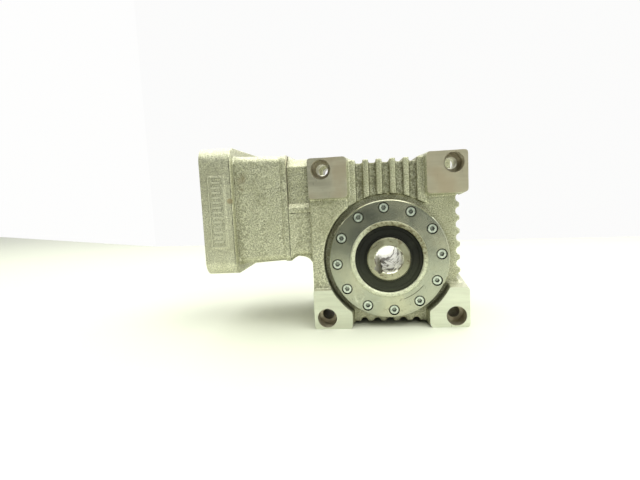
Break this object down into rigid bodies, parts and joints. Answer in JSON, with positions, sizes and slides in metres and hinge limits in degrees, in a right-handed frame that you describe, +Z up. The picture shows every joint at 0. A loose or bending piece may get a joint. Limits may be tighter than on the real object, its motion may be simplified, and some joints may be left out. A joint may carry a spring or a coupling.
{
  "type": "worm gearbox",
  "caption": "Right-angle worm gearbox in a ribbed cast case, with a hollow keyed output shaft, round bearing covers, corner mounting lugs and a square motor flange.",
  "frame": {"origin": "middle of the hollow output shaft, on its axis", "axes": "+Y along the output axis towards the rear cover, +Z up from the output axis to the worm axis, +X away from the motor flange"},
  "size_m": [0.2435, 0.1216, 0.174],
  "materials": {
    "cast_aluminium": "sand cast, blasted",
    "machined_aluminium": "turned, satin",
    "gasket_fibre": "dark fibre sheet",
    "zinc_steel": "zinc plated",
    "black_rubber": "matt nitrile",
    "shaft_steel": "turned, light rust film",
    "worm_steel": "ground",
    "bronze": "machined bronze",
    "spring_steel": "blued",
    "cap_steel": "phosphated",
    "copper": "soft copper",
    "bearing_steel": "ground",
    "cage_steel": "pressed sheet"
  },
  "bodies": {
    "gearcase": {"housing": "cast_aluminium", "motor_adapter": "cast_aluminium", "adapter_gasket": "gasket_fibre", "adapter_screws": "zinc_steel", "front_cover": "machined_aluminium", "rear_cover": "machined_aluminium", "front_cover_screws": "zinc_steel", "rear_cover_screws": "zinc_steel", "front_cover_o_ring": "black_rubber", "rear_cover_o_ring": "black_rubber", "front_output_seal": "black_rubber", "rear_output_seal": "black_rubber", "input_oil_seal": "black_rubber", "housing_circlip": "spring_steel", "end_cap": "cap_steel", "preload_shim": "spring_steel", "oil_plug": "zinc_steel", "oil_plug_washer": "copper", "front_bearing_outer_ring": "bearing_steel", "rear_bearing_outer_ring": "bearing_steel", "worm_input_bearing_outer_ring": "bearing_steel", "worm_end_bearing_outer_ring": "bearing_steel"},
    "output": {"output_shaft": "shaft_steel", "worm_wheel_rim": "bronze", "front_bearing_inner_ring": "bearing_steel", "rear_bearing_inner_ring": "bearing_steel"},
    "worm": {"worm_shaft": "worm_steel", "worm_circlip": "spring_steel", "worm_input_bearing_inner_ring": "bearing_steel", "worm_end_bearing_inner_ring": "bearing_steel"},
    "front_ball_set": {"front_bearing_balls": "bearing_steel", "front_bearing_cage": "cage_steel"},
    "rear_ball_set": {"rear_bearing_balls": "bearing_steel", "rear_bearing_cage": "cage_steel"},
    "worm_input_ball_set": {"worm_input_bearing_balls": "bearing_steel", "worm_input_bearing_cage": "cage_steel"},
    "worm_end_ball_set": {"worm_end_bearing_balls": "bearing_steel", "worm_end_bearing_cage": "cage_steel"}
  },
  "joints": [
    {"name": "output_spin", "type": "hinge", "parent": "gearcase", "child": "output", "pos_m": [0, 0, 0], "axis": [0, 1, 0], "continuous": true},
    {"name": "worm_spin", "type": "hinge", "parent": "gearcase", "child": "worm", "pos_m": [0, 0, 0.05], "axis": [1, 0, 0], "continuous": true},
    {"name": "front_balls_spin", "type": "hinge", "parent": "gearcase", "child": "front_ball_set", "pos_m": [0, -0.0385, 0], "axis": [0, 1, 0], "continuous": true},
    {"name": "rear_balls_spin", "type": "hinge", "parent": "gearcase", "child": "rear_ball_set", "pos_m": [0, 0.0385, 0], "axis": [0, 1, 0], "continuous": true},
    {"name": "worm_input_balls_spin", "type": "hinge", "parent": "gearcase", "child": "worm_input_ball_set", "pos_m": [-0.0835, 0, 0.05], "axis": [1, 0, 0], "continuous": true},
    {"name": "worm_end_balls_spin", "type": "hinge", "parent": "gearcase", "child": "worm_end_ball_set", "pos_m": [0.048, 0, 0.05], "axis": [1, 0, 0], "continuous": true}
  ],
  "couplings": [
    {"joint": "worm_spin", "follows": "output_spin", "ratio": -30},
    {"joint": "front_balls_spin", "follows": "output_spin", "ratio": 0.42778},
    {"joint": "rear_balls_spin", "follows": "output_spin", "ratio": 0.42778},
    {"joint": "worm_input_balls_spin", "follows": "output_spin", "ratio": -11.961},
    {"joint": "worm_end_balls_spin", "follows": "output_spin", "ratio": -11.507}
  ]
}
